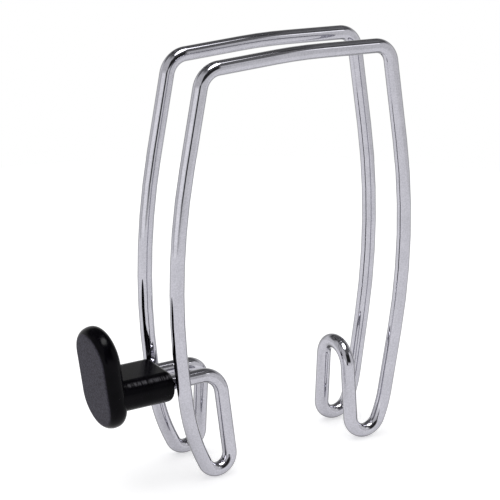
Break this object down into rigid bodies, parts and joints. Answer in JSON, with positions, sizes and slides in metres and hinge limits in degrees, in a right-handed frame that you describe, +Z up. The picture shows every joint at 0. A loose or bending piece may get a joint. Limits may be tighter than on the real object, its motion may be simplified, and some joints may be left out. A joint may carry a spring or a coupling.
{
  "type": "over-panel coat hook",
  "caption": "Bent chromed wire hook that hangs over the top of a partition panel and carries a coat on a black plastic peg.",
  "frame": {"origin": "middle of the panel's top edge, midway between the two hoops", "axes": "+Z up, +X to the side without the peg, +Y along the panel's edge to the rear hoop"},
  "size_m": [0.1477, 0.0326, 0.1777],
  "materials": {
    "chromed_wire": "bright chrome plate on round steel wire",
    "black_plastic": "black, fine moulded texture, satin rims"
  },
  "bodies": {
    "root": {"wire_frame": "chromed_wire", "coat_peg": "black_plastic"}
  },
  "joints": []
}
